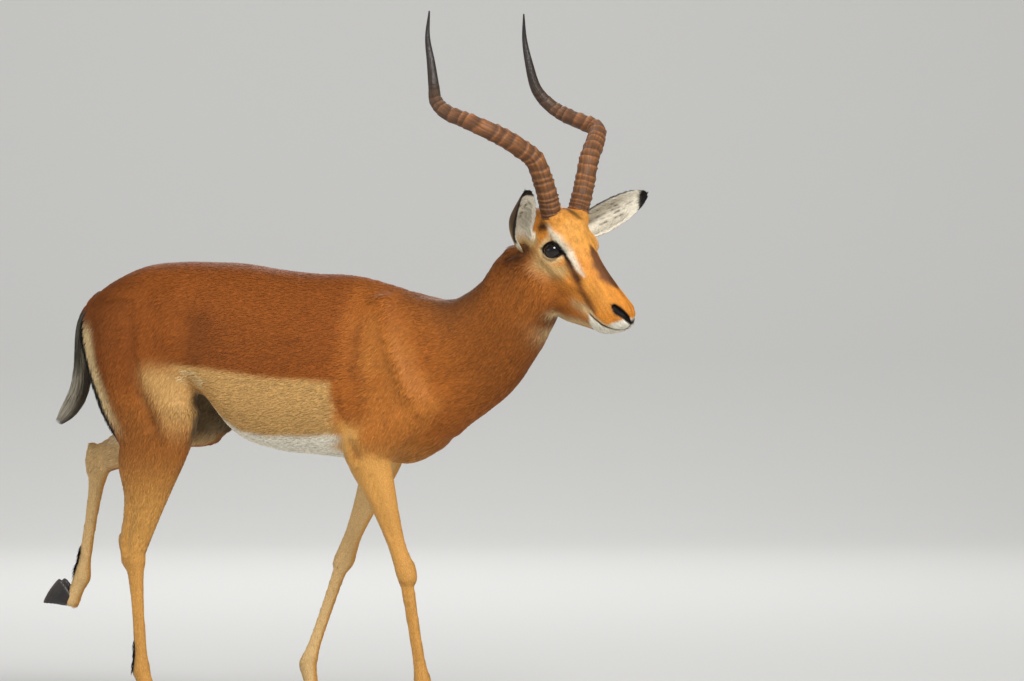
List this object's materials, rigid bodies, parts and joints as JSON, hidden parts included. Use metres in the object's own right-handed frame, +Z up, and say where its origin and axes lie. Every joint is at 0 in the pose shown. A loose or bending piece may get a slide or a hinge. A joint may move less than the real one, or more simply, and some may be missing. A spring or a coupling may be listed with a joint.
{
  "type": "impala antelope, adult male, life-size still model",
  "caption": "Walking male impala with lyre-shaped ridged horns, one hind leg lifted in mid-step, standing on its hooves.",
  "frame": {"origin": "on the floor, under the middle of the animal's bounding box", "axes": "+X towards the chest and head, +Y to the animal's left side, +Z up"},
  "size_m": [1.3691, 0.401, 1.4091],
  "materials": {
    "coat": "short glossy red-brown hair, paler below",
    "face_coat": "very short orange-tan hair with white and dark marks",
    "leg_coat": "short fawn hair",
    "ear_coat": "white hair inside, grey-brown outside, black tip",
    "tail_coat": "long white hair with a black stripe",
    "horn": "ridged horn, smooth and darker at the tips",
    "eye": "wet and glossy",
    "hoof": "satin horn"
  },
  "bodies": {
    "root": {"trunk": "coat", "neck": "coat", "head": "face_coat", "ear_left": "ear_coat", "ear_right": "ear_coat", "eye_left": "eye", "eye_right": "eye", "horn_left": "horn", "horn_right": "horn", "tail": "tail_coat", "foreleg_left": "leg_coat", "foreleg_right": "leg_coat", "hindleg_left": "leg_coat", "hindleg_right": "leg_coat", "forehoof_left_inner": "hoof", "forehoof_left_outer": "hoof", "forehoof_right_inner": "hoof", "forehoof_right_outer": "hoof", "hindhoof_left_inner": "hoof", "hindhoof_left_outer": "hoof", "hindhoof_right_inner": "hoof", "hindhoof_right_outer": "hoof"}
  },
  "joints": []
}
